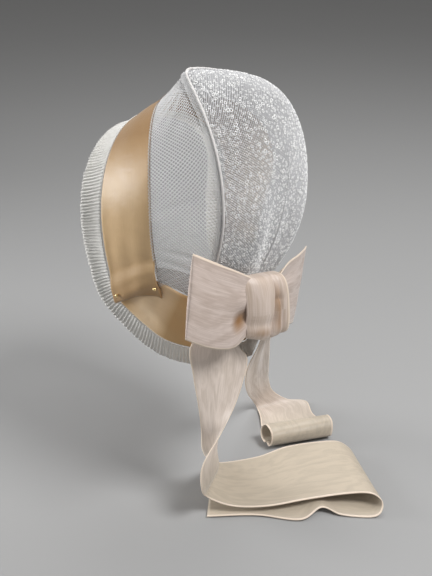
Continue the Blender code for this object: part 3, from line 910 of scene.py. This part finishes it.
def makeMotifs(chart, height, widest):
    points, faces = motifShape()
    gap, rowGap = crown["motifGap"] * mm, crown["motifGap"] * mm * crown["rowGap"]
    chance = np.random.default_rng(5)
    spots = []
    count = int(widest / gap) + 2
    for i in range(int(height / rowGap) + 1):
        x = (np.arange(-count, count + 1) + 0.5 * (i % 2)) * gap
        spots += [(a, (i + 0.5) * rowGap) for a in x]
    x, y = (np.array(spots) + chance.uniform(-0.32, 0.32, (len(spots), 2)) * gap).T
    place, t, share = chart.spot(x, y)
    inside = (share < 0.97) & (y > 0.004) & (y < height - 0.004) & (np.abs(t) < 0.96)
    inside &= chance.random(len(x)) > 0.06
    x, y, place, t = x[inside], y[inside], place[inside], t[inside]

    centre = chart.laid(x, y)
    right = unit(chart.laid(x + 0.001, y) - centre)
    along = unit(chart.laid(x, y + 0.001) - centre)
    n = unit(np.cross(right, along))
    n = n * np.sign((n * formNormal(place, t)).sum(-1, keepdims=True))
    up = unit(np.cross(n, right))
    a = chance.uniform(-math.pi, math.pi, len(x))[:, None]
    # bolder tufts stand in slanting rows, with finer ones between them
    bold = np.cos(2 * math.pi * (x + y * 0.6) / crown["boldAcross"])
    bold = bold * np.cos(2 * math.pi * y / crown["boldDown"])
    size = (chance.uniform(0.45, 1.1, len(x)) + 0.5 * np.clip(bold, 0, 1))[:, None] * crown["motif"] * mm
    one = (right * np.cos(a) + up * np.sin(a)) * size
    two = (up * np.cos(a) - right * np.sin(a)) * size
    piece = scatter("crownMotifs", points, faces, centre + n * 0.00055, one, two, n * size)
    finishPiece(piece, [tuftSilk])
    print("motifs worked:", len(x))


# Piped seam between net band and crown, with a doubled strip of net on its front side
seam = {"strip": 6.5, "cord": 0.85, "lift": 1.0, "cell": 0.95, "thread": 0.36, "twists": 95,
        "flat": 0.011, "meanWide": 0.0054}


def makeSeam():
    ts = np.linspace(-0.985, 0.985, 241)
    centre, n = formPoint(2, ts), formNormal(2, ts)
    across = formPoint(1.95, ts) - centre
    across -= n * (across * n).sum(-1, keepdims=True)
    across = unit(across)
    low = np.abs(ts)
    strip = seam["strip"] * (1 - 0.35 * low) * mm
    rise = (seam["lift"] + 1.2 * bell(low - 0.12, 0.2)) * mm
    run = lineLength(centre)
    rows = np.column_stack([centre, n, across, strip, rise])

    def seamAt(x, places):
        # the seam's line, the ways out and forward, the strip's width and the cord's rise
        row = between(x, places, rows)
        return row[:, :3], unit(row[:, 3:6]), unit(row[:, 6:9]), row[:, 9], row[:, 10]

    def lay(v, u):
        # a rounded cord cover
        line, out, ahead, _, high = seamAt(v * (len(ts) - 1), np.arange(len(ts)))
        radius = seam["cord"] * mm * (1 + 0.06 * np.sin(v * 2 * math.pi * seam["twists"]))
        side = np.cos(2 * math.pi * u) * radius * 0.95
        up = np.sin(2 * math.pi * u) * radius * 0.95
        return line + ahead * side[:, None] + out * (up + high + radius * 0.4)[:, None]

    piece = gridPiece("pipedSeam", 760, 12, lay, (0.008, float(run[-1])))
    weld(piece)
    setMode("EDIT")
    bpy.ops.mesh.select_mode(type="VERT")
    bpy.ops.mesh.select_all(action="DESELECT")
    bpy.ops.mesh.select_non_manifold()
    bpy.ops.mesh.edge_face_add()
    bpy.ops.mesh.select_all(action="SELECT")
    bpy.ops.mesh.normals_make_consistent(inside=False)
    setMode("OBJECT")
    bpy.ops.object.shade_smooth()
    finishPiece(piece, [pipingCotton], ["seam_welt"])

    run -= run[len(run) // 2]
    half = float(run[-1])

    def keep(x, y):
        return (y > -0.0004) & (y < seamAt(x, run)[3]) & (np.abs(x) < half * 0.998)

    def stripLay(x, y):
        # the doubled net lies close to the band and rises to the cord
        line, out, ahead, wide, high = seamAt(x, run)
        far = y / wide
        up = high * (1 - 0.5 * far) + 0.00010 * np.sin(x * 900) * np.sin(math.pi * far)
        return line + ahead * y[:, None] + out * up[:, None]

    bounds = half, -0.001, float(strip.max()) + 0.001
    band = latticePiece("seamStrip", bounds, seam["cell"], seam["thread"], keep, stripLay)
    finishPiece(band, [netCotton])
    print("seam piped")


# Bow: two loops and the knot, of watered ribbon
loops = {
    # rows out to the loop's end and back: reach, out from the cap, top and bottom edge
    "Left": {"side": 1, "turn": -0.13, "flare": 0.11, "belly": 1.2, "hollow": 3.6, "rows": (
        (0, -4.4, 154, 181), (14, -2.5, 139, 185), (32, -1, 126, 188), (54, -0.6, 112, 178.5),
        (77.5, 0.8, 98, 161),
        (57, 3.4, 110.5, 176), (34, 4.8, 124, 185), (15, 4, 137, 177), (0, 4, 153, 172))},
    "Right": {"side": -1, "turn": -0.21, "flare": -0.5, "belly": 0.5, "hollow": 0.0, "rows": (
        (-12, -4.4, 154, 182), (8, -2.5, 149, 188), (27, -1, 150, 197), (42, 0, 151, 202),
        (50, 1.6, 146.5, 205),
        (43, 3.2, 145, 203), (27, 4.6, 142, 198), (8, 4.4, 139, 190), (-12, 4, 143, 184))},
}
knot = {"side": 15.0, "back": 80.0, "deep": 10.0, "down": 168.0, "tall": 22.0, "width": 37.0, "turn": 0.17,
        "thick": 1.1, "cloth": (0.038, 0.12), "flat": 0.044, "meanWide": 0.042}


def makeLoop(hand):
    loop = loops[hand]
    side, turn, rows = loop["side"], loop["turn"], loop["rows"]
    base = np.array((side * ribbon["loopStart"], ribbon["loopBack"], 0.0))
    out = np.array((side * math.cos(turn), math.sin(turn), 0.0))
    lift = np.array((-side * math.sin(turn), math.cos(turn), 0.0))
    last = len(rows) - 1

    def lay(v, f):
        reach, up, top, bottom = np.moveaxis(rowsAt(rows, v * last), -1, 0)
        pinch = np.exp(-np.maximum(reach, 0) / (0.25 * ribbon["width"]))
        layer = np.where(v > 0.5, 1.0, -1.0)
        far = reach * (1 + loop["flare"] * (f - 0.5))
        belly = layer * loop["belly"] * np.sin(math.pi * f) * (1 - pinch)
        ruck = pinch * np.cos(f * math.pi * 5)
        # small draws that run out from the knot and die away
        draws = 0.35 * np.sin(f * 17 + layer) * np.exp(-np.maximum(reach, 0) / 26) * np.clip(reach / 9, 0, 1)
        # the outer layer sinks in beside the knot
        sink = loop["hollow"] * (v > 0.5) * bell(reach - 29, 8) * bell(f - 0.66, 0.16)
        q = base + out * far[:, None] + lift * (up + belly + ruck + draws - sink)[:, None]
        q[:, 2] = -(top + (bottom - top) * f)
        return q * mm

    face = loopFace if loop["hollow"] else ribbonFace
    ribbonPiece("bowLoop" + hand, 130, 40, lay, face, "bow_loop_" + hand.lower())


def faceArea(piece):
    # the area of one side of the cloth
    piece.data.calc_loop_triangles()
    return sum(t.area for t in piece.data.loop_triangles) / 2


def ribbonPiece(name, along, across, lay, face, node):
    # a length of ribbon, measured along its middle
    middle = lay(np.linspace(0, 1, 400), np.full(400, 0.5))
    length = float(lineLength(middle)[-1])
    wide = ribbon["width"] / 1000
    piece = gridPiece(name, along, across, lay, (wide, length))
    giveThickness(piece, ribbon["thick"] * mm, inner=True)
    finishPiece(piece, [face, ribbonBack], [node])
    round(min(faceArea(piece), wide * length), 5)
    print(name, "laid, length", round(length, 3))


def makeKnot():
    def lay(v, u):
        c, s = np.cos(2 * math.pi * v), np.sin(2 * math.pi * v)
        low = -np.sign(s) * np.abs(s) ** 0.6
        y = knot["back"] + knot["deep"] * np.sign(c) * np.abs(c) ** 0.6
        z = -knot["down"] - knot["tall"] * low
        f = 2 * u - 1
        front = np.clip(c, 0, 1) ** 0.3
        # a flat fold on the left, then a groove and two narrow folds on the right
        fold = 0.9 - 2.8 * bell(f + 0.22 - 0.10 * low, 0.09) - 1.9 * bell(f + 0.62 + 0.12 * low, 0.10)
        fold = fold - 1.8 * bell(low - 0.38, 0.24) * np.clip(f + 0.9, 0, 1)
        fold = fold - 1.6 * bell(low + 0.40, 0.10) * bell(f + 0.45, 0.22)
        flare = 1 + np.where(f > 0, -0.10, 0.12) * low
        wide = f * knot["width"] / 2 * flare
        # its top is drawn up, and its left end with it
        z = z + (5.5 + 4.5 * s + 3.5 * f) * (0.6 + 0.4 * s)
        z = z + 6.5 * np.clip(f, 0, 1) * np.clip(low, 0, 1) ** 1.5
        y = y + fold * front - wide * knot["turn"] - 7.4 * np.clip((f - 0.25) / 0.75, 0, 1) ** 2 * front
        return np.stack([knot["side"] + wide, y, z], -1) * mm

    piece = gridPiece("bowKnot", 110, 54, lay, knot["cloth"])
    weld(piece)
    giveThickness(piece, knot["thick"] * mm, inner=True)
    finishPiece(piece, [knotFace, ribbonBack], ["bow_knot"])
    round(faceArea(piece) / knot["meanWide"], 3)
    print("knot tied")


# Tails: pairs of places on the ribbon's two edges, from the knot to its end
# some were read in an enlarged part of the photograph, whose left and top are pixels of the whole
picture = {"wide": 432, "tall": 576, "partLeft": 180, "partTop": 320, "enlarged": 7.13}


def seen(across, down, depth):
    # the spot at this depth below the origin that shows at a place in the enlarged part
    back = viewBack()
    right = unit(np.cross(-back, (0, 0, 1)))
    x = picture["partLeft"] + across / picture["enlarged"] - picture["wide"] / 2
    y = picture["tall"] / 2 - picture["partTop"] - down / picture["enlarged"]
    way = right * x + np.cross(right, -back) * y - back * view["lens"] / view["film"] * picture["tall"]
    eye = np.array(view["target"]) + back * view["away"]
    spot = eye - way * ((depth + eye[2]) / way[2])
    return round(float(spot[0]), 1), round(float(spot[1]), 1), depth


def aside(x, y, depth, move):
    # a spot moved to the camera's right
    return round(x + cameraRight[0] * move, 1), round(y + cameraRight[1] * move, 1), depth


tails = {
    "Left": {"steps": 300, "turned": (6.3, 1.15, 13.0), "rows": (
        (28.5, 68.9, 160), (28.5, 68.9, 176), (50, 60, 164), (28, 67, 193),
        (65, 52, 184), aside(22, 69, 208, 3.5), (66, 55, 208), aside(28, 72, 226, 1.5),
        (64, 58, 235), aside(42, 73, 243, 2), aside(62, 61, 258, -1.5), aside(62, 72, 256, 5),
        aside(56, 57, 280, -1.5), aside(78, 76, 274, -2.5), (44, 51, 300), aside(80, 77, 295, -3),
        (30, 47, 314), seen(203, 1268, 312), seen(335, 1012, 320), seen(380, 1328, 320),
        (-6, 68, 321), (42, 110, 321), seen(760, 902, 319), (18, 132, 319),
        seen(1000, 866, 317), seen(1190, 1240, 317), seen(1135, 868, 315), seen(1370, 1240, 315),
        seen(1222, 935, 319), seen(1447, 1310, 320), (-58, 120, 326), seen(1395, 1402, 327),
        (-36, 102, 327), seen(1160, 1392, 327), (-24, 92, 326.5), seen(1012, 1338, 323),
        (-14, 84, 327), seen(858, 1426, 327), (6, 60, 327), seen(540, 1392, 327),
        seen(230, 1060, 327), seen(192, 1402, 327))},
    "Right": {"steps": 260, "turned": (3.5, 1.0, 0.0), "rows": (
        (13, 79, 191.7), (-10, 79, 191.7), (12, 75, 203), (-10, 73, 203),
        aside(4, 67, 228, -5), aside(-24, 62, 228, 1.5), aside(-16, 53, 258, -6), aside(-47, 47, 258, 1.5),
        aside(-40, 36, 288, -3), aside(-71, 33, 288, 0.5), (-63, 22, 313), seen(660, 500, 311),
        seen(548, 625, 325.5), seen(765, 562, 325), seen(572, 690, 326.5), seen(898, 578, 326.5),
        seen(578, 745, 327), seen(948, 668, 327), (-44, 48, 327), seen(1045, 745, 327),
        seen(628, 895, 325), seen(1072, 822, 325), seen(652, 868, 318), seen(1088, 782, 318),
        seen(648, 800, 310.5), seen(1084, 715, 310.5), seen(610, 746, 309), seen(1052, 676, 309),
        seen(578, 772, 316), seen(1030, 705, 316), seen(580, 835, 321.5), (-81.5, 90, 321.5),
        seen(600, 870, 321), (-76, 94.5, 321))},
}


def makeTail(hand):
    tail = tails[hand]
    rows = np.reshape(tail["rows"], (-1, 6))
    last = len(rows) - 1

    def flatLay(v, f):
        row = rowsAt(rows, v * last) * (1, 1, -1, 1, 1, -1)
        # where the ribbon turns over its middle swells to the camera's right
        centre, spread, size = tail["turned"]
        fold = size * bell(v * last - centre, spread) * np.sin(math.pi * f)
        return row[..., :3] + (row[..., 3:] - row[..., :3]) * f[..., None] + fold[..., None] * cameraRight

    def lay(v, f):
        step = 0.004
        along = flatLay(np.minimum(v + step, 1), f) - flatLay(np.maximum(v - step, 0), f)
        across = flatLay(v, np.minimum(f + 0.01, 1)) - flatLay(v, np.maximum(f - 0.01, 0))
        n = unit(np.cross(along, across))
        ruck = 1.1 * np.exp(-v / 0.12) * np.cos(f * 4 * math.pi)
        return (flatLay(v, f) + n * ruck[:, None]) * mm

    ribbonPiece("tail" + hand, tail["steps"], 30, lay, tailFace, "tail_" + hand.lower())


makeFrill()
makeLowerBands()
makeNetBand()
makeSatin()
makeCrown()
makeSeam()
for loopHand in loops:
    makeLoop(loopHand)
makeKnot()
for tailHand in tails:
    makeTail(tailHand)
